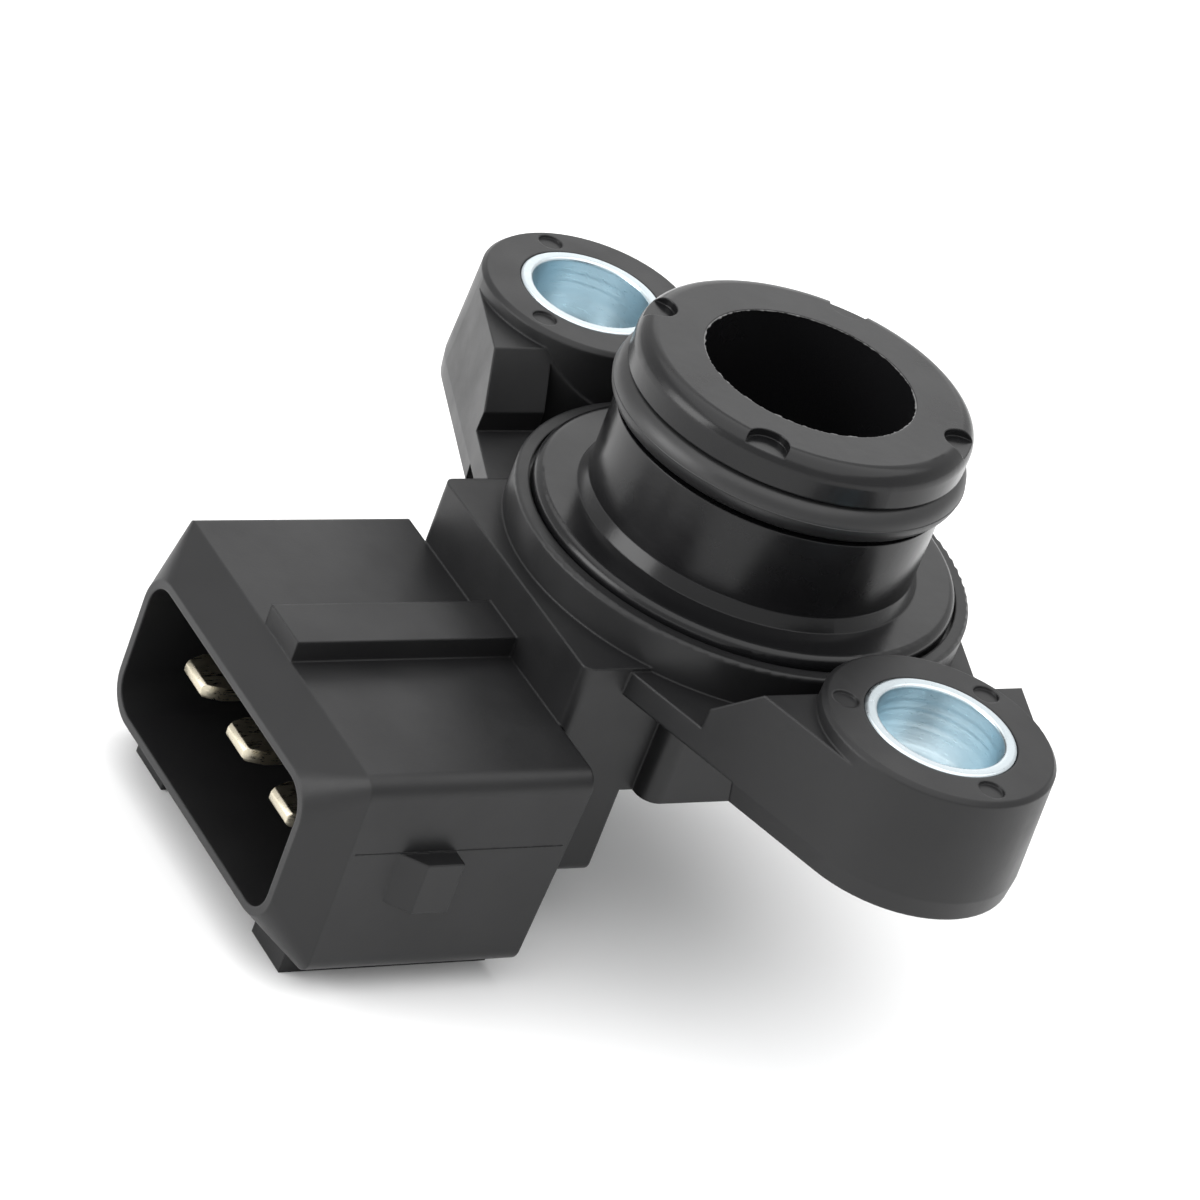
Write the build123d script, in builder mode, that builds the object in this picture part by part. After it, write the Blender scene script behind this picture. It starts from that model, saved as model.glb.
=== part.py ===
from build123d import *
import os
from math import radians, tan

# Manifold absolute pressure sensor, millimetres.
# The Z axis is the axis of the pressure port, which points up.
# z = 0 is the plane of the mounting ears' tops, which meet the manifold.
# The plug points along -Y and the ears lie along X.

os.makedirs("parts", exist_ok=True)

# Mounting ears
ear_spacing = 36.5          # between the two bolt holes
ear_r = 5.85                # at the top
draft = 2.5                 # mould draft above the parting line, degrees
parting_z = -5.7            # parting line of the ears and arms
ear_band_h = 1.05           # ears' band below the parting line
ear_base_draft = 6.0        # draft below the parting line, degrees
ear_base_gap = 2.9          # from the ring to where the near ear's lower band starts
ear_base_lap = 0.7          # the far ear's lower band runs this far under the ring
ear_edge = 0.2              # bevel of the ears' tops
pin_mark_r = 0.65           # marks of the pins that held the bushings in the mould
pin_mark_gap = 0.9          # from the bushing to the mark's centre
pin_mark_depth = 0.15

# Steel bushings in the ears
bushing_r = 3.85
bushing_bore_r = 3.15
bushing_proud = 0.08
bushing_chamfer = 0.2

# Ring that takes the port, and the arms out to the ears
ring_r = 11.85
ring_wall = 0.72
ring_top_z = -2.2
ring_edge = 0.2
arm_low_z = -4.4            # flange top round the ring
arm_step_gap = 0.35         # from the ring to the step in the arm
arm_step_h = 1.1
arm_ramp_run = 2.2
arm_flat_z = -0.85          # flat top of the arm beside the ear's boss
boss_clear = 0.01           # boss above the arm's flat, outside the ear's drafted side
web_t = 3.25                # side webs of the arm
pocket_floor_t = 0.7        # pocket's floor above the parting line
pocket_edge = 0.25          # pocket to ring

# Wall between the plug and the ring
wall_w = 15.6
wall_front = 12.7           # port axis to the wall's face
wall_top_z = -4.2
wall_base_z = -16.8
wall_back = 8.0             # port axis to the back of the wall's foot
wall_edge = 0.5
foot_edge = 0.7             # lower edges of the wall's foot

# Box behind the ring that holds the sensor chamber
box_side_t = 1.8
box_front_t = 1.05
box_back_t = 2.0
box_floor_t = 1.6
box_edge = 1.0

# Chamber in the box
chamber_w = 14.4
chamber_front = 6.2
chamber_back = 6.0
chamber_floor_z = -10.0
chamber_corner = 1.5
ledge_h = 0.6               # ledge under the terminals' inner ends
ledge_over = 0.2            # ledge past the terminals' ends

# Plug shroud
plug_offset = 1.0           # plug centre beside the port axis
plug_w = 21.1
plug_h = 11.4
plug_z = -13.44
plug_edge = 0.9             # long edges on the near side
plug_far_edge = 0.3         # long edges on the far side
plug_back_lean = 0.68       # shroud's back leans forward, top to bottom
plug_root = 0.5             # wall's foot inside the shroud, past the lean
plug_len = 12.2             # wall to the start of the nose
nose_len = 2.2
nose_inset = 1.55
mouth_corner = 2.0
mouth_wall = 0.45
socket_floor_t = 2.3        # wall's face to the socket's floor
rib_w = 3.0                 # rib on top
rib_h = 1.15
rib_shift = -0.45
key_w = 3.1                 # two keys below
key_h = 1.35
key_shift = 7.0
lug_proud = 1.0             # latch lug on each side
lug_len = 3.05
lug_ramp = 1.05
lug_w = 2.85
lug_setback = 2.75
contact_rise = 0.17         # terminals and lugs above the shroud's middle

# Terminals
terminal_pitch = 5.0
terminal_w = 2.8
terminal_t = 0.8
terminal_bend = 0.9
tip_setback = 1.45
tip_w = 1.9
tip_len = 1.1
tip_bevel = 0.2
riser_cover = 2.1           # plastic behind the terminal's riser
pad_len = 2.8               # terminal end that lies on the ledge

# Pressure port
port_top_z = 7.6
port_bore_r = 5.47
rim_r = 8.7
rim_h = 1.9
rim_edge = 0.9
rim_notch_r = 1.05          # four notches in the rim's edge
rim_notch_in = 1.6          # rim's edge to the notch's inner end
rim_notch_depth = 0.4
neck_r = 8.5
neck_foot_flare = 0.35
neck_foot_h = 0.7
disc_top_z = -1.6
disc_edge = 0.45
seat_depth = 1.7            # ring top to the seat under the disc
bond_t = 0.2
bond_gap = 0.15
bond_fill = 0.5             # below the ring's top
bond_bed_w = 1.9

# O-ring
o_ring_section_r = 1.08
o_ring_proud = 0.42         # outside the rim
o_ring_play = 0.02
groove_play = 0.15          # more than the section, below the ring

# Sensor package on the chamber floor
package_h = 4.2
package_side_gap = 0.5      # to the chamber's near side
package_back_gap = 0.8      # to the chamber's back
package_front_gap = 0.4     # to the ledge
package_bond_t = 0.1
package_bond_inset = 0.5
well_side_t = 0.9
well_front_t = 1.5
well_back_t = 1.1
well_depth = 2.6
well_corner = 0.6
lead_side_gap = 0.3         # outer leads to the well's sides
lead_w = 1.0
lead_t = 0.3
lead_rise = 0.9             # lead above the well's floor
lead_reach = 0.9            # lead inside the well
lead_out = 0.6
lead_foot = 1.3
lead_bend = 0.35
gel_freeboard = 0.4

# Chips, wires and capacitors
die_side = 2.2
die_t = 0.4
glass_t = 0.8
die_back = 1.7              # port axis to the die's centre
chip_w = 2.0
chip_d = 2.4
chip_t = 0.4
chip_gap = 1.3              # die to chip
wire_r = 0.06
wire_loop = 0.35
wire_inset = 0.35
capacitor_len = 3.2
capacitor_w = 1.15
capacitor_h = 1.0
capacitor_gap = 0.1         # to the chamber's front wall

# Places worked out from the sizes above
ear_x = ear_spacing / 2
flare = -parting_z * tan(radians(draft))
ear_base_z = parting_z - ear_band_h
arm_step_x = ring_r + arm_step_gap
arm_ramp_x = arm_step_x + arm_ramp_run
arm_step_z = arm_low_z + arm_step_h
pocket_r = ring_r - web_t
pocket_floor_z = parting_z + pocket_floor_t
boss_r = ear_r + boss_clear
boss_foot_r = boss_r + flare
seat_z = ring_top_z - seat_depth
seat_r = ring_r - ring_wall
disc_r = seat_r - bond_gap
disc_base_z = seat_z + bond_t
rim_z = port_top_z - rim_h
o_ring_r = rim_r + o_ring_proud - o_ring_section_r
o_ring_z = rim_z - o_ring_play - o_ring_section_r
groove_r = o_ring_r - o_ring_section_r - o_ring_play
groove_z = o_ring_z - o_ring_section_r - groove_play
nose_y = -wall_front - plug_len
mouth_y = nose_y - nose_len
socket_floor_y = -wall_front - socket_floor_t
contact_z = plug_z + contact_rise
lean_top_z = plug_z + plug_h / 2 - plug_edge
key_base_z = plug_z - plug_h / 2 - key_h
mouth_w = plug_w - 2 * nose_inset
mouth_h = plug_h - 2 * nose_inset
chamber_y = (chamber_back - chamber_front) / 2
box_w = chamber_w + 2 * box_side_t
box_front = chamber_front + box_front_t
box_back = chamber_back + box_back_t
box_base_z = chamber_floor_z - box_floor_t
ledge_z = chamber_floor_z + ledge_h
terminal_xs = [plug_offset + i * terminal_pitch for i in (-1, 0, 1)]
tip_y = mouth_y + tip_setback
riser_y = -wall_back - riser_cover
pad_end_y = -chamber_front + pad_len
ledge_y = pad_end_y + ledge_over
pad_z = ledge_z + terminal_t / 2
pad_top_z = ledge_z + terminal_t
package_base_z = chamber_floor_z + package_bond_t
package_top_z = package_base_z + package_h
package_w = chamber_w - 2 * (plug_offset + package_side_gap)
package_front_y = ledge_y + package_front_gap
package_d = chamber_back - package_back_gap - package_front_y
package_y = package_front_y + package_d / 2
well_w = package_w - 2 * well_side_t
well_d = package_d - well_front_t - well_back_t
well_front_y = package_front_y + well_front_t
well_y = well_front_y + well_d / 2
well_floor_z = package_top_z - well_depth
lead_pitch = (well_w - lead_w) / 2 - lead_side_gap
lead_xs = [plug_offset + i * lead_pitch for i in (-1, 0, 1)]
lead_z = well_floor_z + lead_rise
lead_top_z = lead_z + lead_t / 2
lead_bend_y = package_front_y - lead_out
lead_foot_z = pad_top_z + lead_t / 2
die_top_z = well_floor_z + glass_t + die_t
chip_x = die_side / 2 + chip_gap + chip_w / 2
chip_top_z = well_floor_z + chip_t
capacitor_y = -chamber_front + capacitor_gap + capacitor_w / 2
capacitor_xs = [(terminal_xs[0] + terminal_xs[1]) / 2, (terminal_xs[1] + terminal_xs[2]) / 2]

# The plug's sections lie square to -Y, with local x along X and local y along Z
plug_plane = Plane(origin=(plug_offset, 0, plug_z), x_dir=(1, 0, 0), z_dir=(0, -1, 0))

# Each terminal is one bent strip: tab, riser in the wall, and pad on the chamber's ledge
terminal_path = [(tip_y, contact_z), (riser_y, contact_z), (riser_y, pad_z), (pad_end_y, pad_z)]

# Each lead starts in the well, leaves through the package's front and steps down to a pad
lead_start_y = well_front_y + lead_reach
lead_path = [
    (lead_start_y, lead_z),
    (lead_bend_y, lead_z),
    (lead_bend_y, lead_foot_z),
    (lead_bend_y - lead_foot, lead_foot_z),
]

# Wires rise from one bond pad, cross, and come down on the other
die_edge_x = die_side / 2 - wire_inset
chip_edge_x = chip_x - chip_w / 2 + wire_inset
chip_front_y = die_back - chip_d / 2 + wire_inset
lead_bond_y = lead_start_y - wire_inset
wire_spread = die_side / 4
wire_ends = [
    ((die_edge_x, die_back - wire_spread, die_top_z), (chip_edge_x, die_back - wire_spread, chip_top_z)),
    ((die_edge_x, die_back + wire_spread, die_top_z), (chip_edge_x, die_back + wire_spread, chip_top_z)),
    ((chip_x - wire_inset, chip_front_y, chip_top_z), (lead_xs[1], lead_bond_y, lead_top_z)),
    ((chip_x + wire_inset, chip_front_y, chip_top_z), (lead_xs[2], lead_bond_y, lead_top_z)),
    ((wire_inset - die_side / 2, die_back - wire_spread, die_top_z), (lead_xs[0], lead_bond_y, lead_top_z)),
]


# Relief over the arms: all that is cut from the flange between the ears' bosses.
# From the ring outwards it is the low flange, a step, a ramp and the arm's flat.
with BuildPart() as arm_relief:
    with BuildSketch(Plane.XZ):
        with BuildLine():
            Polyline(
                (-ear_x - ear_r, arm_flat_z),
                (-arm_ramp_x, arm_flat_z),
                (-arm_step_x, arm_step_z),
                (-arm_step_x, arm_low_z),
                (arm_step_x, arm_low_z),
                (arm_step_x, arm_step_z),
                (arm_ramp_x, arm_flat_z),
                (ear_x + ear_r, arm_flat_z),
                (ear_x + ear_r, ear_r),
                (-ear_x - ear_r, ear_r),
                close=True,
            )
        make_face()
    extrude(amount=2 * ring_r, both=True)
    with BuildSketch(Plane.XY.offset(parting_z)):
        with Locations((ear_x, 0), (-ear_x, 0)):
            Circle(boss_foot_r)
    extrude(amount=-parting_z, taper=draft, mode=Mode.SUBTRACT)
    with BuildSketch(Plane.XY):
        with Locations((ear_x, 0), (-ear_x, 0)):
            Circle(boss_r)
    extrude(amount=2 * ear_r, mode=Mode.SUBTRACT)


# Housing: flange with its two ears
with BuildPart() as housing:
    with BuildSketch(Plane.XY.offset(parting_z)):
        Circle(ring_r + flare)
        with Locations((ear_x, 0), (-ear_x, 0)):
            Circle(ear_r + flare)
        make_hull()
    with BuildSketch(Plane.XY):
        Circle(ring_r)
        with Locations((ear_x, 0), (-ear_x, 0)):
            Circle(ear_r)
        make_hull()
    loft(ruled=True)
    add(arm_relief.part, mode=Mode.SUBTRACT)

    # bevelled top edges of the ears
    for ear in (-ear_x, ear_x):
        with BuildSketch(Plane.XZ):
            with BuildLine():
                Polyline(
                    (ear + ear_r - 2 * ear_edge, ear_edge),
                    (ear + ear_r + ear_edge, -2 * ear_edge),
                    (ear + 2 * ear_r, -2 * ear_edge),
                    (ear + 2 * ear_r, ear_edge),
                    close=True,
                )
            make_face()
        revolve(axis=Axis((ear, 0, 0), (0, 0, 1)), mode=Mode.SUBTRACT)

    # band of the ears below the parting line
    with BuildSketch(Plane.XY.offset(parting_z)):
        Circle(ring_r + flare)
        with Locations((ear_x, 0), (-ear_x, 0)):
            Circle(ear_r + flare)
        make_hull()
        with Locations(((ear_base_gap + ear_base_lap) / 2, 0)):
            Rectangle(2 * ring_r + ear_base_gap - ear_base_lap, 4 * ring_r, mode=Mode.SUBTRACT)
    extrude(amount=ear_base_z - parting_z, taper=ear_base_draft)

    # ring round the port's disc
    with BuildSketch(Plane.XZ):
        with BuildLine():
            ring_side = Polyline((0, parting_z), (ring_r, parting_z), (ring_r, ring_top_z - ring_edge))
            ring_rim = RadiusArc(ring_side @ 1, (ring_r - ring_edge, ring_top_z), -ring_edge)
            Polyline(ring_rim @ 1, (0, ring_top_z), (0, parting_z))
        make_face()
    revolve(axis=Axis.Z)

    # wall towards the plug
    with BuildSketch(Plane.XY.offset(box_base_z)) as wall_plan:
        with Locations((0, -(wall_front + chamber_front) / 2)):
            Rectangle(wall_w, wall_front - chamber_front)
        fillet(wall_plan.vertices().group_by(Axis.Y)[0], radius=wall_edge)
    extrude(amount=wall_top_z - box_base_z)

    # box of the sensor chamber
    with BuildSketch(Plane.XY.offset(box_base_z)) as box_plan:
        with Locations((0, (box_back - box_front) / 2)):
            Rectangle(box_w, box_back + box_front)
        fillet(box_plan.vertices(), radius=box_edge)
    extrude(amount=arm_low_z - box_base_z)

    # plug shroud with its nose
    with BuildSketch(plug_plane.offset(wall_front)) as shroud_section:
        Rectangle(plug_w, plug_h)
        fillet(shroud_section.vertices().group_by(Axis.X)[-1], radius=plug_edge)
        fillet(shroud_section.vertices().group_by(Axis.X)[0], radius=plug_far_edge)
    extrude(amount=plug_len)
    with BuildSketch(plug_plane.offset(-nose_y)) as nose_section:
        Rectangle(plug_w, plug_h)
        fillet(nose_section.vertices().group_by(Axis.X)[-1], radius=plug_edge)
        fillet(nose_section.vertices().group_by(Axis.X)[0], radius=plug_far_edge)
    with BuildSketch(plug_plane.offset(-mouth_y)):
        RectangleRounded(mouth_w, mouth_h, mouth_corner)
    loft(ruled=True)

    # rib on top, keys below, lugs on the sides
    with BuildSketch(plug_plane.offset(wall_front)):
        with Locations((rib_shift, plug_h / 2)):
            Rectangle(rib_w, 2 * rib_h)
        with Locations((key_shift, -plug_h / 2), (-key_shift, -plug_h / 2)):
            Rectangle(key_w, 2 * key_h)
    extrude(amount=plug_len)
    with BuildSketch(Plane.XY.offset(contact_z)):
        for side in (-1, 1):
            face_x = plug_offset + side * plug_w / 2
            ramp_y = nose_y + lug_setback
            with BuildLine():
                Polyline(
                    (face_x - side * plug_edge, ramp_y),
                    (face_x, ramp_y),
                    (face_x + side * lug_proud, ramp_y + lug_ramp),
                    (face_x + side * lug_proud, ramp_y + lug_len),
                    (face_x - side * plug_edge, ramp_y + lug_len),
                    close=True,
                )
            make_face()
    extrude(amount=lug_w / 2, both=True)

    # lean of the shroud's back, and the wall's foot through it
    with BuildSketch(Plane.YZ.offset(plug_offset)):
        with BuildLine():
            Polyline(
                (-wall_front, lean_top_z),
                (-wall_front, key_base_z),
                (-wall_front - plug_back_lean, key_base_z),
                close=True,
            )
        make_face()
    extrude(amount=plug_w, both=True, mode=Mode.SUBTRACT)
    with BuildSketch(Plane.XZ.offset(wall_back)) as foot_section:
        with Locations((0, (lean_top_z + wall_base_z) / 2)):
            Rectangle(wall_w, lean_top_z - wall_base_z)
        fillet(foot_section.vertices().group_by(Axis.Y)[0], radius=foot_edge)
    extrude(amount=wall_front + plug_back_lean + plug_root - wall_back)

    # socket of the plug
    with BuildSketch(plug_plane.offset(-socket_floor_y)):
        RectangleRounded(mouth_w - 2 * mouth_wall, mouth_h - 2 * mouth_wall, mouth_corner - mouth_wall)
    extrude(amount=socket_floor_y - mouth_y, mode=Mode.SUBTRACT)

    # seat of the port's disc, and the chamber below it with the terminals' ledge
    with BuildSketch(Plane.XY.offset(seat_z)):
        Circle(seat_r)
    extrude(amount=port_top_z - seat_z, mode=Mode.SUBTRACT)
    with BuildSketch(Plane.XY.offset(ledge_z)) as chamber_plan:
        with Locations((0, chamber_y)):
            Rectangle(chamber_w, chamber_back + chamber_front)
        fillet(chamber_plan.vertices(), radius=chamber_corner)
    extrude(amount=seat_z - ledge_z, mode=Mode.SUBTRACT)
    with BuildSketch(Plane.XY.offset(chamber_floor_z)) as floor_plan:
        with Locations((0, (chamber_back + ledge_y) / 2)):
            Rectangle(chamber_w, chamber_back - ledge_y)
        fillet(floor_plan.vertices().group_by(Axis.Y)[-1], radius=chamber_corner)
    extrude(amount=ledge_h, mode=Mode.SUBTRACT)

    # pockets between the arms' webs
    with BuildSketch(Plane.XY.offset(pocket_floor_z)):
        Circle(pocket_r)
        with Locations((ear_x, 0), (-ear_x, 0)):
            Circle(ear_r - web_t)
        make_hull()
        Rectangle(2 * arm_ramp_x, 4 * ring_r, mode=Mode.INTERSECT)
        Circle(ring_r + pocket_edge, mode=Mode.SUBTRACT)
        with Locations((ear_x, 0), (-ear_x, 0)):
            Circle(boss_foot_r, mode=Mode.SUBTRACT)
    extrude(amount=arm_flat_z - pocket_floor_z, mode=Mode.SUBTRACT)

    # holes for the bushings and marks of the mould's pins
    with BuildSketch(Plane.XY):
        with Locations((ear_x, 0), (-ear_x, 0)):
            Circle(bushing_r)
    extrude(amount=ear_base_z, mode=Mode.SUBTRACT)
    with BuildSketch(Plane.XY):
        for side in (-1, 1):
            with Locations((side * ear_x, 0)):
                with PolarLocations(bushing_r + pin_mark_gap, 3, start_angle=90 - side * 90):
                    Circle(pin_mark_r)
    extrude(amount=-pin_mark_depth, mode=Mode.SUBTRACT)

    # the terminals are moulded in
    for x in terminal_xs:
        with BuildLine(Plane.YZ.offset(x)) as insert_path:
            FilletPolyline(*terminal_path, radius=terminal_bend)
        with BuildSketch(Plane((x, tip_y, contact_z), x_dir=(1, 0, 0), z_dir=(0, 1, 0))):
            Rectangle(terminal_w, terminal_t)
        sweep(path=insert_path.wire(), mode=Mode.SUBTRACT)

housing.part.label = "housing"
export_step(housing.part, "parts/housing.step")


# Steel bushing in the ear on the +X side
with BuildPart() as bushing_near:
    with BuildSketch(Plane.XY.offset(ear_base_z)):
        with Locations((ear_x, 0)):
            Circle(bushing_r)
            Circle(bushing_bore_r, mode=Mode.SUBTRACT)
    extrude(amount=bushing_proud - ear_base_z)
    bore_edges = bushing_near.edges().filter_by(GeomType.CIRCLE).sort_by(SortBy.RADIUS)[:2]
    chamfer(bore_edges, length=bushing_chamfer)

bushing_near.part.label = "bushing_near"
export_step(bushing_near.part, "parts/bushing_near.step")


# Steel bushing in the ear on the -X side
with BuildPart() as bushing_far:
    with BuildSketch(Plane.XY.offset(ear_base_z)):
        with Locations((-ear_x, 0)):
            Circle(bushing_r)
            Circle(bushing_bore_r, mode=Mode.SUBTRACT)
    extrude(amount=bushing_proud - ear_base_z)
    bore_edges = bushing_far.edges().filter_by(GeomType.CIRCLE).sort_by(SortBy.RADIUS)[:2]
    chamfer(bore_edges, length=bushing_chamfer)

bushing_far.part.label = "bushing_far"
export_step(bushing_far.part, "parts/bushing_far.step")


# Pressure port: disc, neck with a flared foot, groove for the ring, and rim
with BuildPart() as pressure_port:
    with BuildSketch(Plane.XZ):
        with BuildLine():
            Polyline(
                (port_bore_r, disc_base_z),
                (disc_r, disc_base_z),
                (disc_r, disc_top_z),
                (neck_r + neck_foot_flare, disc_top_z),
                (neck_r, disc_top_z + neck_foot_h),
                (neck_r, groove_z),
                (groove_r, groove_z),
                (groove_r, rim_z),
                (rim_r, rim_z),
                (rim_r, port_top_z),
                (port_bore_r, port_top_z),
                close=True,
            )
        make_face()
    revolve(axis=Axis.Z)
    disc_rim = pressure_port.edges().filter_by(GeomType.CIRCLE).sort_by(SortBy.RADIUS)[-2:]
    fillet(disc_rim.sort_by(Axis.Z)[-1], radius=disc_edge)
    top_rim = pressure_port.faces().sort_by(Axis.Z)[-1].edges().sort_by(SortBy.RADIUS)[-1]
    fillet(top_rim, radius=rim_edge)

    # four round notches in the rim's edge
    with BuildSketch(Plane.XY.offset(port_top_z)):
        with PolarLocations(rim_r - rim_notch_in + rim_notch_r, 4, start_angle=45):
            Circle(rim_notch_r)
    extrude(amount=-rim_notch_depth, mode=Mode.SUBTRACT)

pressure_port.part.label = "pressure_port"
export_step(pressure_port.part, "parts/pressure_port.step")


# Adhesive under the port's disc and up the gap round its edge
with BuildPart() as port_bond:
    with BuildSketch(Plane.XZ):
        with BuildLine():
            Polyline(
                (seat_r - bond_bed_w, seat_z),
                (seat_r, seat_z),
                (seat_r, ring_top_z - bond_fill),
                (disc_r, ring_top_z - bond_fill),
                (disc_r, disc_base_z),
                (seat_r - bond_bed_w, disc_base_z),
                close=True,
            )
        make_face()
    revolve(axis=Axis.Z)

port_bond.part.label = "port_bond"
export_step(port_bond.part, "parts/port_bond.step")


# Rubber ring in the port's groove
with BuildPart() as o_ring:
    with BuildSketch(Plane.XZ):
        with Locations((o_ring_r, o_ring_z)):
            Circle(o_ring_section_r)
    revolve(axis=Axis.Z)

o_ring.part.label = "o_ring"
export_step(o_ring.part, "parts/o_ring.step")


# Terminals: bent brass strips with a tapered tip
for number, x in enumerate(terminal_xs, start=1):
    with BuildPart() as terminal:
        with BuildLine(Plane.YZ.offset(x)) as strip_path:
            FilletPolyline(*terminal_path, radius=terminal_bend)
        with BuildSketch(Plane((x, tip_y, contact_z), x_dir=(1, 0, 0), z_dir=(0, 1, 0))):
            Rectangle(terminal_w, terminal_t)
        sweep(path=strip_path.wire())
        with BuildSketch(Plane.XY.offset(contact_z)):
            for side in (-1, 1):
                with BuildLine():
                    Polyline(
                        (x + side * tip_w / 2, tip_y),
                        (x + side * terminal_w / 2, tip_y),
                        (x + side * terminal_w / 2, tip_y + tip_len),
                        close=True,
                    )
                make_face()
        extrude(amount=terminal_t, both=True, mode=Mode.SUBTRACT)
        tip_edges = terminal.edges().filter_by(Axis.X).group_by(Axis.Y)[0]
        chamfer(tip_edges, length=tip_bevel)

    terminal.part.label = f"terminal_{number}"
    export_step(terminal.part, f"parts/terminal_{number}.step")


# Adhesive that holds the sensor package on the chamber's floor
with BuildPart() as package_bond:
    with BuildSketch(Plane.XY.offset(chamber_floor_z)):
        with Locations((plug_offset, package_y)):
            Rectangle(package_w - 2 * package_bond_inset, package_d - 2 * package_bond_inset)
    extrude(amount=package_bond_t)

package_bond.part.label = "package_bond"
export_step(package_bond.part, "parts/package_bond.step")


# Sensor package: a moulded cup with a well for the chips
with BuildPart() as sensor_package:
    with BuildSketch(Plane.XY.offset(package_base_z)):
        with Locations((plug_offset, package_y)):
            Rectangle(package_w, package_d)
    extrude(amount=package_h)
    with BuildSketch(Plane.XY.offset(well_floor_z)):
        with Locations((plug_offset, well_y)):
            RectangleRounded(well_w, well_d, well_corner)
    extrude(amount=well_depth, mode=Mode.SUBTRACT)
    for x in lead_xs:
        with BuildLine(Plane.YZ.offset(x)) as slot_path:
            FilletPolyline(*lead_path, radius=lead_bend)
        with BuildSketch(Plane((x, lead_start_y, lead_z), x_dir=(1, 0, 0), z_dir=(0, -1, 0))):
            Rectangle(lead_w, lead_t)
        sweep(path=slot_path.wire(), mode=Mode.SUBTRACT)

sensor_package.part.label = "sensor_package"
export_step(sensor_package.part, "parts/sensor_package.step")


# Leads of the package, each welded on a terminal's pad
for number, x in enumerate(lead_xs, start=1):
    with BuildPart() as lead:
        with BuildLine(Plane.YZ.offset(x)) as strip_path:
            FilletPolyline(*lead_path, radius=lead_bend)
        with BuildSketch(Plane((x, lead_start_y, lead_z), x_dir=(1, 0, 0), z_dir=(0, -1, 0))):
            Rectangle(lead_w, lead_t)
        sweep(path=strip_path.wire())

    lead.part.label = f"lead_{number}"
    export_step(lead.part, f"parts/lead_{number}.step")


# Glass support under the sensing die
with BuildPart() as glass_base:
    with BuildSketch(Plane.XY.offset(well_floor_z)):
        with Locations((0, die_back)):
            Rectangle(die_side, die_side)
    extrude(amount=glass_t)

glass_base.part.label = "glass_base"
export_step(glass_base.part, "parts/glass_base.step")


# Silicon die that the pressure bends
with BuildPart() as sensing_die:
    with BuildSketch(Plane.XY.offset(well_floor_z + glass_t)):
        with Locations((0, die_back)):
            Rectangle(die_side, die_side)
    extrude(amount=die_t)

sensing_die.part.label = "sensing_die"
export_step(sensing_die.part, "parts/sensing_die.step")


# Amplifier chip beside the die
with BuildPart() as signal_chip:
    with BuildSketch(Plane.XY.offset(well_floor_z)):
        with Locations((chip_x, die_back)):
            Rectangle(chip_w, chip_d)
    extrude(amount=chip_t)

signal_chip.part.label = "signal_chip"
export_step(signal_chip.part, "parts/signal_chip.step")


# Bond wires between die, chip and leads
with BuildPart() as bond_wires:
    for start, end in wire_ends:
        top_z = max(start[2], end[2]) + wire_loop
        with BuildLine() as wire_path:
            Polyline(start, (start[0], start[1], top_z), (end[0], end[1], top_z), end)
        with BuildSketch(Plane.XY.offset(start[2])):
            with Locations((start[0], start[1])):
                Circle(wire_r)
        sweep(path=wire_path.wire(), transition=Transition.RIGHT)

bond_wires.part.label = "bond_wires"
export_step(bond_wires.part, "parts/bond_wires.step")


# Soft gel that fills the well round the chips and wires
with BuildPart() as protective_gel:
    with BuildSketch(Plane.XY.offset(well_floor_z)):
        with Locations((plug_offset, well_y)):
            RectangleRounded(well_w, well_d, well_corner)
    extrude(amount=well_depth - gel_freeboard)
    with BuildSketch(Plane.XY.offset(well_floor_z)):
        with Locations((0, die_back)):
            Rectangle(die_side, die_side)
    extrude(amount=glass_t + die_t, mode=Mode.SUBTRACT)
    with BuildSketch(Plane.XY.offset(well_floor_z)):
        with Locations((chip_x, die_back)):
            Rectangle(chip_w, chip_d)
    extrude(amount=chip_t, mode=Mode.SUBTRACT)
    with BuildSketch(Plane.XY.offset(lead_z)):
        for x in lead_xs:
            with Locations((x, well_front_y + lead_reach / 2)):
                Rectangle(lead_w, lead_reach)
    extrude(amount=lead_t / 2, both=True, mode=Mode.SUBTRACT)
    for start, end in wire_ends:
        top_z = max(start[2], end[2]) + wire_loop
        with BuildLine() as channel_path:
            Polyline(start, (start[0], start[1], top_z), (end[0], end[1], top_z), end)
        with BuildSketch(Plane.XY.offset(start[2])):
            with Locations((start[0], start[1])):
                Circle(wire_r)
        sweep(path=channel_path.wire(), transition=Transition.RIGHT, mode=Mode.SUBTRACT)

protective_gel.part.label = "protective_gel"
export_step(protective_gel.part, "parts/protective_gel.step")


# Filter capacitors that bridge the terminals' pads
for number, x in enumerate(capacitor_xs, start=1):
    with BuildPart() as capacitor:
        with BuildSketch(Plane.XY.offset(pad_top_z)):
            with Locations((x, capacitor_y)):
                Rectangle(capacitor_len, capacitor_w)
        extrude(amount=capacitor_h)

    capacitor.part.label = f"capacitor_{number}"
    export_step(capacitor.part, f"parts/capacitor_{number}.step")
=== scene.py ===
from math import radians

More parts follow.
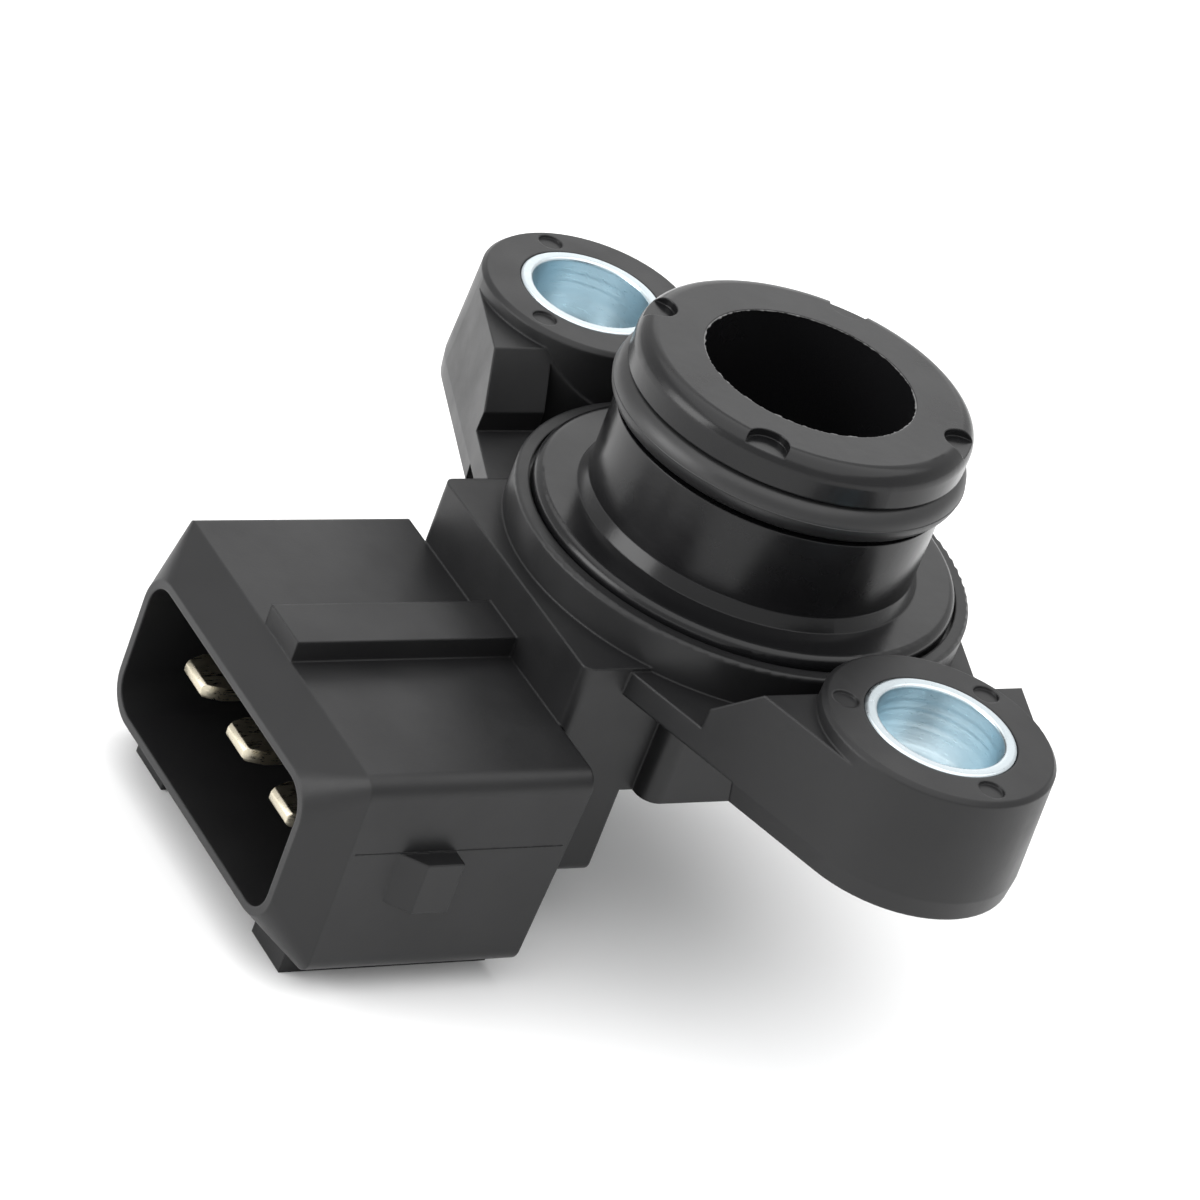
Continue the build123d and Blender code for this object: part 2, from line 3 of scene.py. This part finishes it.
import bmesh
import bpy
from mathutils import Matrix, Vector


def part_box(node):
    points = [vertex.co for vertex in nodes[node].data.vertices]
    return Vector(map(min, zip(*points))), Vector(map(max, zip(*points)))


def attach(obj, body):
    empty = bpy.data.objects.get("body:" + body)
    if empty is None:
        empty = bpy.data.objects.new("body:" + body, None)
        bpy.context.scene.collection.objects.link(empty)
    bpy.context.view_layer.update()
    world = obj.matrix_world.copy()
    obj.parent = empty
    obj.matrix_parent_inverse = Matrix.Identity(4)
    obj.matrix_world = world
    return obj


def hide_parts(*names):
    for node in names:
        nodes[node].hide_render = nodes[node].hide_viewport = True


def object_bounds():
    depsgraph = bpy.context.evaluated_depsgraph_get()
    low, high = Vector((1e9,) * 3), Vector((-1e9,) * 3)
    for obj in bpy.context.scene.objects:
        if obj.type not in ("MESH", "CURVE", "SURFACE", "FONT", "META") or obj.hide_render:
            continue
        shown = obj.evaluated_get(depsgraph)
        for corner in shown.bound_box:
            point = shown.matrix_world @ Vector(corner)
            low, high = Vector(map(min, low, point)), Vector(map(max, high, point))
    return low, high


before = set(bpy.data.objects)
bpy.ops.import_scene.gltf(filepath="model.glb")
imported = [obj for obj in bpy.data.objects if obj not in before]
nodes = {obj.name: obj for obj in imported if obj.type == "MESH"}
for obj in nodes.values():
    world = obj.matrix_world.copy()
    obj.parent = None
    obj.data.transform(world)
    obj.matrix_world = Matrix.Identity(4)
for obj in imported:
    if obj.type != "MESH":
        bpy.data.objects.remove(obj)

# Housing: one black moulding of glass filled plastic with the plug, wall, ring, arms and ears.
# It comes out of a spark eroded mould, so its faces are satin with a fine grain and its edges
# are a little round.
MM = 0.001
cad_box = [list(corner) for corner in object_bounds()]
scene = bpy.context.scene
housing_black = (0.009, 0.009, 0.0095, 1.0)
housing_sheen = 0.34
housing_edge = 0.16 * MM
edge_samples = 6
cloud_detail = 4.0
cloud_roughness = 0.6
grain_detail = 3.0
grain_roughness = 0.65
noise_low = 0.3
noise_high = 0.7


def shader_node(tree, kind, inputs=None, **settings):
    """Adds a node, with its settings, and sets each input to a value or links it to a socket."""
    node = tree.nodes.new(kind)
    for name, value in settings.items():
        setattr(node, name, value)
    for name, value in (inputs or {}).items():
        if isinstance(value, bpy.types.NodeSocket):
            tree.links.new(value, node.inputs[name])
        else:
            node.inputs[name].default_value = value
    return node


def moulded_finish(name, colour, rough_low, rough_high, grain_size, grain_depth, cloud_size,
                   edge_round=0.0, gloss_level=0.5):
    """A moulded plastic or rubber: even colour, cloudy gloss and a fine grain."""
    finish = bpy.data.materials.new(name)
    finish.use_nodes = True
    tree = finish.node_tree
    shader = tree.nodes["Principled BSDF"]
    shader.inputs["Base Color"].default_value = colour
    shader.inputs["Specular IOR Level"].default_value = gloss_level
    place = shader_node(tree, "ShaderNodeTexCoord")
    cloud = shader_node(tree, "ShaderNodeTexNoise", {
        "Vector": place.outputs["Object"], "Scale": 1 / cloud_size,
        "Detail": cloud_detail, "Roughness": cloud_roughness})
    gloss = shader_node(tree, "ShaderNodeMapRange", {
        "Value": cloud.outputs["Fac"], "From Min": noise_low, "From Max": noise_high,
        "To Min": rough_low, "To Max": rough_high})
    tree.links.new(gloss.outputs["Result"], shader.inputs["Roughness"])
    grain = shader_node(tree, "ShaderNodeTexNoise", {
        "Vector": place.outputs["Object"], "Scale": 1 / grain_size,
        "Detail": grain_detail, "Roughness": grain_roughness})
    relief = shader_node(tree, "ShaderNodeBump", {
        "Height": grain.outputs["Fac"], "Distance": grain_depth, "Strength": 1.0})
    tree.links.new(relief.outputs["Normal"], shader.inputs["Normal"])
    if edge_round:
        soft_edge = shader_node(tree, "ShaderNodeBevel", {"Radius": edge_round}, samples=edge_samples)
        tree.links.new(soft_edge.outputs["Normal"], relief.inputs["Normal"])
    return finish


def dress(node, finish):
    """Gives a node of the frame its finish."""
    nodes[node].data.materials.clear()
    nodes[node].data.materials.append(finish)


housing_finish = moulded_finish(
    "housing_plastic", housing_black, rough_low=0.34, rough_high=0.46, grain_size=0.12 * MM,
    grain_depth=0.004 * MM, cloud_size=3.5 * MM, edge_round=housing_edge, gloss_level=housing_sheen)
dress("housing", housing_finish)

# Terminals: three tabs stamped from tin plated brass strip and moulded into the housing.
# The rolled faces are dull, and the sheared edges and coined tips are bright.
tab_edge = 0.06 * MM
merge_distance = 0.002 * MM
flat_angle = radians(0.6)
edge_angle = radians(35)
sharp_angle = radians(55)
edge_steps = 2
tab_colour = (0.60, 0.55, 0.43, 1.0)


def plain_mesh(piece):
    """Turns a piece's modifiers into its own mesh and takes them off."""
    depsgraph = bpy.context.evaluated_depsgraph_get()
    made = bpy.data.meshes.new_from_object(piece.evaluated_get(depsgraph), depsgraph=depsgraph)
    piece.modifiers.clear()
    piece.data = made
    made.name = piece.name


def rounded_copy(node, name, edge_round, finish):
    """A merged copy of a node's mesh whose sharp edges are rounded. It stands for the node."""
    mesh = nodes[node].data.copy()
    mesh.materials.clear()
    mesh.materials.append(finish)
    for layer in ("custom_normal", "sharp_edge"):
        if layer in mesh.attributes:
            mesh.attributes.remove(mesh.attributes[layer])
    work = bmesh.new()
    work.from_mesh(mesh)
    bmesh.ops.remove_doubles(work, verts=work.verts, dist=merge_distance)
    bmesh.ops.dissolve_limit(work, angle_limit=flat_angle, verts=work.verts, edges=work.edges)
    for face in work.faces:
        face.smooth = True
        face.material_index = 0
    work.to_mesh(mesh)
    work.free()
    piece = bpy.data.objects.new(name, mesh)
    scene.collection.objects.link(piece)
    bevel = piece.modifiers.new("edge_round", "BEVEL")
    bevel.width = edge_round
    bevel.segments = edge_steps
    bevel.limit_method = "ANGLE"
    bevel.angle_limit = edge_angle
    bevel.use_clamp_overlap = True
    bevel.miter_outer = "MITER_ARC"
    plain_mesh(piece)
    piece.data.set_sharp_from_angle(angle=sharp_angle)
    even = piece.modifiers.new("even_normals", "WEIGHTED_NORMAL")
    even.keep_sharp = True
    plain_mesh(piece)
    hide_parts(node)
    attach(piece, "root")
    return piece


def metal_finish(name, colour, rough_low, rough_high, mark_size, mark_stretch, mark_depth):
    """A plated metal with fine marks drawn out along one axis."""
    finish = bpy.data.materials.new(name)
    finish.use_nodes = True
    tree = finish.node_tree
    shader = tree.nodes["Principled BSDF"]
    shader.inputs["Base Color"].default_value = colour
    shader.inputs["Metallic"].default_value = 1.0
    place = shader_node(tree, "ShaderNodeTexCoord")
    drawn = shader_node(tree, "ShaderNodeMapping", {
        "Vector": place.outputs["Object"], "Scale": mark_stretch})
    marks = shader_node(tree, "ShaderNodeTexNoise", {
        "Vector": drawn.outputs["Vector"], "Scale": 1 / mark_size,
        "Detail": grain_detail, "Roughness": cloud_roughness})
    gloss = shader_node(tree, "ShaderNodeMapRange", {
        "Value": marks.outputs["Fac"], "From Min": noise_low, "From Max": noise_high,
        "To Min": rough_low, "To Max": rough_high})
    tree.links.new(gloss.outputs["Result"], shader.inputs["Roughness"])
    relief = shader_node(tree, "ShaderNodeBump", {
        "Height": marks.outputs["Fac"], "Distance": mark_depth, "Strength": 1.0})
    tree.links.new(relief.outputs["Normal"], shader.inputs["Normal"])
    return finish


terminal_finish = metal_finish(
    "terminal_metal", tab_colour, rough_low=0.22, rough_high=0.42, mark_size=0.12 * MM,
    mark_stretch=(1.0, 0.15, 1.0), mark_depth=0.003 * MM)
for number in (1, 2, 3):
    rounded_copy(
        f"terminal_{number}", f"plated_terminal_{number}", tab_edge, terminal_finish)

# Bushings: two steel sleeves turned from bar, zinc plated with a blue passivation, moulded in.
# The tool leaves fine rings in the bore and on the ends; the ends' whiter colour is painted reflection.
bore_colour = (0.60, 0.73, 0.79, 1.0)
# Painted reflection: the ends get a whiter, less blue copy of the bore's colour, standing for the
# overhead light.
end_painted_reflection_colour = (0.58, 0.64, 0.67, 1.0)
reflection_band_depth = 0.14 * MM
sleeve_edge = 0.16 * MM
ring_step = 0.075 * MM
ring_depth = 0.040 * MM
ring_wander = 0.32 * MM
ring_detail = 2.0
torn_detail = 3.0
torn_roughness = 0.7
sleeve_wall = 0.70 * MM
sleeve_sides = 112
sleeve_edge_steps = 4


def new_tree(name, sizes, finish_input="Finish"):
    """A Geometry Nodes tree with named size inputs, and its input and output nodes."""
    tree = bpy.data.node_groups.new(name, "GeometryNodeTree")
    for size in sizes:
        tree.interface.new_socket(name=size, in_out="INPUT", socket_type="NodeSocketFloat")
    tree.interface.new_socket(name=finish_input, in_out="INPUT", socket_type="NodeSocketMaterial")
    tree.interface.new_socket(name="Geometry", in_out="OUTPUT", socket_type="NodeSocketGeometry")
    return tree, tree.nodes.new("NodeGroupInput"), tree.nodes.new("NodeGroupOutput")


def end_tree(tree, start, end, shape, smooth=True):
    """Closes a tree: real geometry, smooth shading and the finish."""
    real = shader_node(tree, "GeometryNodeRealizeInstances", {"Geometry": shape})
    shaded = shader_node(tree, "GeometryNodeSetShadeSmooth", {
        "Geometry": real.outputs["Geometry"], "Shade Smooth": smooth})
    dressed = shader_node(tree, "GeometryNodeSetMaterial", {
        "Geometry": shaded.outputs["Geometry"], "Material": start.outputs["Finish"]})
    tree.links.new(dressed.outputs["Geometry"], end.inputs["Geometry"])


def grown_piece(name, tree, sizes, finish, stands_for=None):
    """Runs a tree with these sizes and keeps the result as a plain mesh that rides on the part."""
    piece = bpy.data.objects.new(name, bpy.data.meshes.new(name))
    scene.collection.objects.link(piece)
    grower = piece.modifiers.new("grow", "NODES")
    grower.node_group = tree
    for socket in tree.interface.items_tree:
        if socket.in_out == "INPUT":
            grower[socket.identifier] = finish if socket.name == "Finish" else sizes[socket.name]
    plain_mesh(piece)
    work = bmesh.new()
    work.from_mesh(piece.data)
    bmesh.ops.recalc_face_normals(work, faces=work.faces)
    work.to_mesh(piece.data)
    work.free()
    if stands_for:
        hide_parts(stands_for)
    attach(piece, "root")
    return piece


sleeve_tree, sleeve_in, sleeve_out = new_tree(
    "turned_sleeve", ["Centre X", "Centre Z", "Mean radius", "Wall", "Length", "Edge", "Ring depth"])
sleeve_path = shader_node(sleeve_tree, "GeometryNodeCurvePrimitiveCircle", {
    "Resolution": sleeve_sides, "Radius": sleeve_in.outputs["Mean radius"]})
sleeve_section = shader_node(sleeve_tree, "GeometryNodeCurvePrimitiveQuadrilateral", {
    "Width": sleeve_in.outputs["Wall"], "Height": sleeve_in.outputs["Length"]})
sleeve_round = shader_node(sleeve_tree, "GeometryNodeFilletCurve", {
    "Curve": sleeve_section.outputs["Curve"], "Radius": sleeve_in.outputs["Edge"],
    "Count": sleeve_edge_steps}, mode="POLY")
sleeve_points = shader_node(sleeve_tree, "GeometryNodeResampleCurve", {
    "Curve": sleeve_round.outputs["Curve"], "Length": ring_step}, mode="LENGTH")
sleeve_noise = shader_node(sleeve_tree, "ShaderNodeTexNoise", {
    "Scale": 1 / ring_wander, "Detail": ring_detail, "Roughness": torn_roughness})
sleeve_cut = shader_node(sleeve_tree, "ShaderNodeMath", {
    0: sleeve_noise.outputs["Fac"], 1: sleeve_in.outputs["Ring depth"]}, operation="MULTIPLY")
sleeve_point = shader_node(sleeve_tree, "GeometryNodeInputPosition")
sleeve_axes = shader_node(sleeve_tree, "ShaderNodeSeparateXYZ", {
    "Vector": sleeve_point.outputs["Position"]})
sleeve_moves = {}
for axis in ("X", "Y"):
    sleeve_sign = shader_node(sleeve_tree, "ShaderNodeMath", {
        0: sleeve_axes.outputs[axis]}, operation="SIGN")
    sleeve_inward = shader_node(sleeve_tree, "ShaderNodeMath", {
        0: sleeve_sign.outputs["Value"], 1: sleeve_cut.outputs["Value"]}, operation="MULTIPLY")
    sleeve_move = shader_node(sleeve_tree, "ShaderNodeMath", {
        0: sleeve_inward.outputs["Value"], 1: -1.0}, operation="MULTIPLY")
    sleeve_moves[axis] = sleeve_move.outputs["Value"]
sleeve_back = shader_node(sleeve_tree, "ShaderNodeCombineXYZ", sleeve_moves)
sleeve_rings = shader_node(sleeve_tree, "GeometryNodeSetPosition", {
    "Geometry": sleeve_points.outputs["Curve"], "Offset": sleeve_back.outputs["Vector"]})
sleeve_wall_mesh = shader_node(sleeve_tree, "GeometryNodeCurveToMesh", {
    "Curve": sleeve_path.outputs["Curve"], "Profile Curve": sleeve_rings.outputs["Geometry"]})
sleeve_place = shader_node(sleeve_tree, "ShaderNodeCombineXYZ", {
    "X": sleeve_in.outputs["Centre X"], "Z": sleeve_in.outputs["Centre Z"]})
sleeve_there = shader_node(sleeve_tree, "GeometryNodeTransform", {
    "Geometry": sleeve_wall_mesh.outputs["Mesh"], "Translation": sleeve_place.outputs["Vector"]})
end_tree(sleeve_tree, sleeve_in, sleeve_out, sleeve_there.outputs["Geometry"])
bore_finish = metal_finish(
    "bushing_steel", bore_colour, rough_low=0.26, rough_high=0.40, mark_size=0.6 * MM,
    mark_stretch=(1.0, 1.0, 12.0), mark_depth=0.0015 * MM)
end_painted_reflection_finish = metal_finish(
    "bushing_end_painted_reflection", end_painted_reflection_colour, rough_low=0.24, rough_high=0.40, mark_size=0.3 * MM,
    mark_stretch=(1.0, 1.0, 1.0), mark_depth=0.002 * MM)
for side in ("near", "far"):
    low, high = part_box(f"bushing_{side}")
    outer_radius = (high.x - low.x) / 2
    bushing = grown_piece(f"turned_bushing_{side}", sleeve_tree, {
        "Centre X": (low.x + high.x) / 2, "Centre Z": (low.z + high.z) / 2,
        "Mean radius": outer_radius - sleeve_wall / 2, "Wall": sleeve_wall,
        "Length": high.z - low.z, "Edge": sleeve_edge, "Ring depth": ring_depth,
    }, bore_finish, f"bushing_{side}")
    bushing.data.materials.append(end_painted_reflection_finish)
    # Faces in the band at each end get the painted reflection finish.
    for face in bushing.data.polygons:
        if not low.z + reflection_band_depth < face.center.z < high.z - reflection_band_depth:
            face.material_index = 1

# Sensor package, leads, chips, wires, gel and capacitors: the circuit in the chamber, glued,
# welded and bonded in place. Only the gel over the chips can be seen, down the port.
package_grey = (0.05, 0.05, 0.055, 1.0)
adhesive_black = (0.012, 0.012, 0.012, 1.0)
lead_tin = (0.70, 0.68, 0.62, 1.0)
wire_silver = (0.85, 0.85, 0.86, 1.0)
silicon_grey = (0.20, 0.21, 0.25, 1.0)
ceramic_tan = (0.42, 0.30, 0.20, 1.0)
glass_tint = (0.75, 0.82, 0.80, 1.0)
gel_tint = (0.55, 0.60, 0.62, 1.0)
package_finish = moulded_finish(
    "package_plastic", package_grey, rough_low=0.5, rough_high=0.6, grain_size=0.2 * MM,
    grain_depth=0.003 * MM, cloud_size=2 * MM)
adhesive_finish = moulded_finish(
    "adhesive", adhesive_black, rough_low=0.28, rough_high=0.5, grain_size=0.4 * MM,
    grain_depth=0.02 * MM, cloud_size=1 * MM)
lead_finish = metal_finish(
    "lead_metal", lead_tin, rough_low=0.25, rough_high=0.4, mark_size=0.1 * MM,
    mark_stretch=(1.0, 0.2, 1.0), mark_depth=0.002 * MM)
wire_finish = metal_finish(
    "wire_metal", wire_silver, rough_low=0.2, rough_high=0.3, mark_size=0.05 * MM,
    mark_stretch=(1.0, 1.0, 1.0), mark_depth=0.001 * MM)
chip_finish = moulded_finish(
    "silicon", silicon_grey, rough_low=0.12, rough_high=0.2, grain_size=0.3 * MM,
    grain_depth=0.0005 * MM, cloud_size=1 * MM)
ceramic_finish = moulded_finish(
    "capacitor_ceramic", ceramic_tan, rough_low=0.4, rough_high=0.5, grain_size=0.15 * MM,
    grain_depth=0.003 * MM, cloud_size=1 * MM)
glass_finish = moulded_finish(
    "support_glass", glass_tint, rough_low=0.1, rough_high=0.2, grain_size=0.3 * MM,
    grain_depth=0.0005 * MM, cloud_size=1 * MM)
gel_finish = moulded_finish(
    "gel", gel_tint, rough_low=0.05, rough_high=0.12, grain_size=1 * MM,
    grain_depth=0.01 * MM, cloud_size=2 * MM)
gel_clearness = 0.85
for clear_finish in (glass_finish, gel_finish):
    clear_shader = clear_finish.node_tree.nodes["Principled BSDF"]
    clear_shader.inputs["Transmission Weight"].default_value = gel_clearness
inner_finishes = {
    "package_bond": adhesive_finish, "sensor_package": package_finish,
    "lead_1": lead_finish, "lead_2": lead_finish, "lead_3": lead_finish,
    "glass_base": glass_finish, "sensing_die": chip_finish, "signal_chip": chip_finish,
    "bond_wires": wire_finish, "protective_gel": gel_finish,
    "capacitor_1": ceramic_finish, "capacitor_2": ceramic_finish,
}
for node, finish in inner_finishes.items():
    dress(node, finish)

# Port bond: black adhesive poured into the seat, which holds the port's disc in the ring.
# It shows as the dark line between disc and ring.
dress("port_bond", adhesive_finish)

# Pressure port: a separate moulding in a smoother, glossier black plastic, glued into the ring.
# Its polished mould leaves a soft shine on the neck, the disc and the rim.
port_black = (0.006, 0.006, 0.0065, 1.0)
port_gloss = 0.30
port_edge = 0.10 * MM
port_finish = moulded_finish(
    "port_plastic", port_black, rough_low=0.17, rough_high=0.30, grain_size=0.6 * MM,
    grain_depth=0.005 * MM, cloud_size=5 * MM, edge_round=port_edge, gloss_level=port_gloss)
dress("pressure_port", port_finish)

# Flash: the thin ragged skin that the core pin leaves round the mouth of the port's bore.
# It is the port's own plastic, torn off unevenly as the pin pulls out; its lighter grey is painted
# highlight.
bore_radius = 5.47 * MM
flash_reach = 0.26 * MM
flash_thickness = 0.06 * MM
flash_wander = 0.35 * MM
flash_points = 360
flash_seed = 7.0
flash_low = 0.42
flash_high = 0.68
flash_least = 0.15
# Painted highlight: a grey far lighter than the port's black, standing for light catching the torn edge.
flash_highlight_grey = (0.09, 0.09, 0.09, 1.0)
flash_tree, flash_in, flash_out = new_tree("bore_flash", ["Bore radius", "Mouth Z", "Reach", "Thickness"])
flash_path = shader_node(flash_tree, "GeometryNodeCurvePrimitiveCircle", {
    "Resolution": flash_points, "Radius": flash_in.outputs["Bore radius"]})
flash_noise = shader_node(flash_tree, "ShaderNodeTexNoise", {
    "Scale": 1 / flash_wander, "Detail": torn_detail, "Roughness": torn_roughness,
    "W": flash_seed}, noise_dimensions="4D")
flash_size = shader_node(flash_tree, "ShaderNodeMapRange", {
    "Value": flash_noise.outputs["Fac"], "From Min": flash_low, "From Max": flash_high,
    "To Min": flash_least, "To Max": 1.0})
flash_section = shader_node(flash_tree, "GeometryNodeCurvePrimitiveQuadrilateral", {
    "Width": flash_in.outputs["Reach"], "Height": flash_in.outputs["Thickness"]})
flash_skin = shader_node(flash_tree, "GeometryNodeCurveToMesh", {
    "Curve": flash_path.outputs["Curve"], "Profile Curve": flash_section.outputs["Curve"],
    "Scale": flash_size.outputs["Result"]})
flash_place = shader_node(flash_tree, "ShaderNodeCombineXYZ", {"Z": flash_in.outputs["Mouth Z"]})
flash_there = shader_node(flash_tree, "GeometryNodeTransform", {
    "Geometry": flash_skin.outputs["Mesh"], "Translation": flash_place.outputs["Vector"]})
end_tree(flash_tree, flash_in, flash_out, flash_there.outputs["Geometry"], smooth=False)
flash_highlight_finish = moulded_finish(
    "flash_plastic_painted_highlight", flash_highlight_grey, rough_low=0.25, rough_high=0.4, grain_size=0.1 * MM,
    grain_depth=0.002 * MM, cloud_size=1 * MM)
mouth_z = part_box("pressure_port")[1].z
grown_piece("bore_flash", flash_tree, {
    "Bore radius": bore_radius, "Mouth Z": mouth_z - flash_thickness / 2,
    "Reach": flash_reach, "Thickness": flash_thickness,
}, flash_highlight_finish)

# Parting lines: the fine ragged ridges along the plug's two sides, where the mould's halves meet.
# They are the housing's own plastic, squeezed a little way into the gap.
plug_centre_x = 1.0 * MM
plug_half_width = 10.55 * MM
ridge_front_y = -24.6 * MM
ridge_back_y = -13.2 * MM
ridge_z = -11.8 * MM
ridge_radius = 0.055 * MM
ridge_step = 0.08 * MM
ridge_wander = 0.25 * MM
ridge_low = 0.35
ridge_high = 0.65
ridge_least = 0.35
ridge_sides = 8
ridge_tree, ridge_in, ridge_out = new_tree(
    "parting_ridge", ["Side X", "Front Y", "Back Y", "Line Z", "Ridge radius"])
ridge_start = shader_node(ridge_tree, "ShaderNodeCombineXYZ", {
    "X": ridge_in.outputs["Side X"], "Y": ridge_in.outputs["Front Y"], "Z": ridge_in.outputs["Line Z"]})
ridge_end = shader_node(ridge_tree, "ShaderNodeCombineXYZ", {
    "X": ridge_in.outputs["Side X"], "Y": ridge_in.outputs["Back Y"], "Z": ridge_in.outputs["Line Z"]})
ridge_line = shader_node(ridge_tree, "GeometryNodeCurvePrimitiveLine", {
    "Start": ridge_start.outputs["Vector"], "End": ridge_end.outputs["Vector"]})
ridge_path = shader_node(ridge_tree, "GeometryNodeResampleCurve", {
    "Curve": ridge_line.outputs["Curve"], "Length": ridge_step}, mode="LENGTH")
ridge_noise = shader_node(ridge_tree, "ShaderNodeTexNoise", {
    "Scale": 1 / ridge_wander, "Detail": torn_detail, "Roughness": torn_roughness})
ridge_size = shader_node(ridge_tree, "ShaderNodeMapRange", {
    "Value": ridge_noise.outputs["Fac"], "From Min": ridge_low, "From Max": ridge_high,
    "To Min": ridge_least, "To Max": 1.0})
ridge_section = shader_node(ridge_tree, "GeometryNodeCurvePrimitiveCircle", {
    "Resolution": ridge_sides, "Radius": ridge_in.outputs["Ridge radius"]})
ridge_skin = shader_node(ridge_tree, "GeometryNodeCurveToMesh", {
    "Curve": ridge_path.outputs["Curve"], "Profile Curve": ridge_section.outputs["Curve"],
    "Scale": ridge_size.outputs["Result"], "Fill Caps": True})
end_tree(ridge_tree, ridge_in, ridge_out, ridge_skin.outputs["Mesh"])
for side, turn in (("near", 1), ("far", -1)):
    grown_piece(f"parting_ridge_{side}", ridge_tree, {
        "Side X": plug_centre_x + turn * plug_half_width, "Front Y": ridge_front_y,
        "Back Y": ridge_back_y, "Line Z": ridge_z, "Ridge radius": ridge_radius,
    }, housing_finish)

# O-ring: moulded rubber, stretched over the rim into its groove.
# The two halves of its mould leave a fine line round the outside.
rubber_black = (0.010, 0.010, 0.0105, 1.0)
seam_radius = 0.05 * MM
ring_sides = 160
section_sides = 36
seam_sides = 8
rubber_finish = moulded_finish(
    "seal_rubber", rubber_black, rough_low=0.34, rough_high=0.48, grain_size=0.25 * MM,
    grain_depth=0.004 * MM, cloud_size=3 * MM)
seal_tree, seal_in, seal_out = new_tree(
    "rubber_ring", ["Centre Z", "Ring radius", "Section radius", "Seam radius", "Seam sink"])
seal_path = shader_node(seal_tree, "GeometryNodeCurvePrimitiveCircle", {
    "Resolution": ring_sides, "Radius": seal_in.outputs["Ring radius"]})
seal_section = shader_node(seal_tree, "GeometryNodeCurvePrimitiveCircle", {
    "Resolution": section_sides, "Radius": seal_in.outputs["Section radius"]})
seal_body = shader_node(seal_tree, "GeometryNodeCurveToMesh", {
    "Curve": seal_path.outputs["Curve"], "Profile Curve": seal_section.outputs["Curve"]})
seam_reach = shader_node(seal_tree, "ShaderNodeMath", {
    0: seal_in.outputs["Ring radius"], 1: seal_in.outputs["Section radius"]}, operation="ADD")
seam_inside = shader_node(seal_tree, "ShaderNodeMath", {
    0: seam_reach.outputs["Value"], 1: seal_in.outputs["Seam sink"]}, operation="SUBTRACT")
seam_path = shader_node(seal_tree, "GeometryNodeCurvePrimitiveCircle", {
    "Resolution": ring_sides, "Radius": seam_inside.outputs["Value"]})
seam_section = shader_node(seal_tree, "GeometryNodeCurvePrimitiveCircle", {
    "Resolution": seam_sides, "Radius": seal_in.outputs["Seam radius"]})
seam_body = shader_node(seal_tree, "GeometryNodeCurveToMesh", {
    "Curve": seam_path.outputs["Curve"], "Profile Curve": seam_section.outputs["Curve"]})
seal_join = shader_node(seal_tree, "GeometryNodeJoinGeometry")
for body in (seal_body, seam_body):
    seal_tree.links.new(body.outputs["Mesh"], seal_join.inputs["Geometry"])
seal_place = shader_node(seal_tree, "ShaderNodeCombineXYZ", {"Z": seal_in.outputs["Centre Z"]})
seal_there = shader_node(seal_tree, "GeometryNodeTransform", {
    "Geometry": seal_join.outputs["Geometry"], "Translation": seal_place.outputs["Vector"]})
end_tree(seal_tree, seal_in, seal_out, seal_there.outputs["Geometry"])
low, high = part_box("o_ring")
section_radius = (high.z - low.z) / 2 - seam_radius / 2
grown_piece("rubber_ring", seal_tree, {
    "Centre Z": (low.z + high.z) / 2, "Ring radius": high.x - section_radius - seam_radius / 2,
    "Section radius": section_radius, "Seam radius": seam_radius, "Seam sink": seam_radius / 2,
}, rubber_finish, "o_ring")

# Studio: a pale matt floor under the part, white surroundings and three soft boxes.
# The camera stands at the photograph's angle.
floor_gap = 0.02 * MM
floor_half = 1.2
floor_z = cad_box[0][2] - floor_gap
floor_tone = (0.93, 0.93, 0.93, 1.0)
floor_roughness = 0.9
floor_mesh = bpy.data.meshes.new("floor")
floor_mesh.from_pydata(
    [(-floor_half, -floor_half, floor_z), (floor_half, -floor_half, floor_z),
     (floor_half, floor_half, floor_z), (-floor_half, floor_half, floor_z)], [], [(0, 1, 2, 3)])
floor = bpy.data.objects.new("floor", floor_mesh)
scene.collection.objects.link(floor)
floor_paint = bpy.data.materials.new("floor_paint")
floor_paint.use_nodes = True
floor_shader = floor_paint.node_tree.nodes["Principled BSDF"]
floor_shader.inputs["Base Color"].default_value = floor_tone
floor_shader.inputs["Roughness"].default_value = floor_roughness
floor_shader.inputs["Specular IOR Level"].default_value = 0.0
floor_mesh.materials.append(floor_paint)
sky_tone = (1.0, 1.0, 1.0, 1.0)
sky_strength = 0.92
world = bpy.data.worlds.new("studio")
world.use_nodes = True
sky = world.node_tree.nodes["Background"]
sky.inputs["Color"].default_value = sky_tone
sky.inputs["Strength"].default_value = sky_strength
scene.world = world


def soft_lamp(name, place, side, power):
    """A square soft box that faces the part."""
    lamp = bpy.data.lights.new(name, "AREA")
    lamp.shape = "SQUARE"
    lamp.size = side
    lamp.energy = power
    box = bpy.data.objects.new(name, lamp)
    box.location = place
    box.rotation_euler = (-Vector(place)).to_track_quat("-Z", "Y").to_euler()
    box.visible_camera = False
    scene.collection.objects.link(box)


soft_lamp("top_soft_box", (0.02, -0.02, 0.60), side=1.10, power=5.2)
soft_lamp("back_soft_box", (-0.36, 0.26, 0.16), side=0.22, power=0.12)
soft_lamp("left_soft_box", (-0.10, -0.40, 0.10), side=0.25, power=1.1)
camera_lens = 164.58
camera_sensor = 36.0
camera_place = (178.862 * MM, -154.687 * MM, 128.985 * MM)
camera_turn = (radians(57.973), radians(-18.498), radians(61.689))
camera_near = 0.01
camera_far = 10.0
camera_data = bpy.data.cameras.new("camera")
camera_data.lens = camera_lens
camera_data.sensor_width = camera_sensor
camera_data.clip_start = camera_near
camera_data.clip_end = camera_far
camera = bpy.data.objects.new("camera", camera_data)
camera.location = camera_place
camera.rotation_euler = camera_turn
scene.collection.objects.link(camera)
scene.camera = camera
scene.view_settings.view_transform = "Standard"
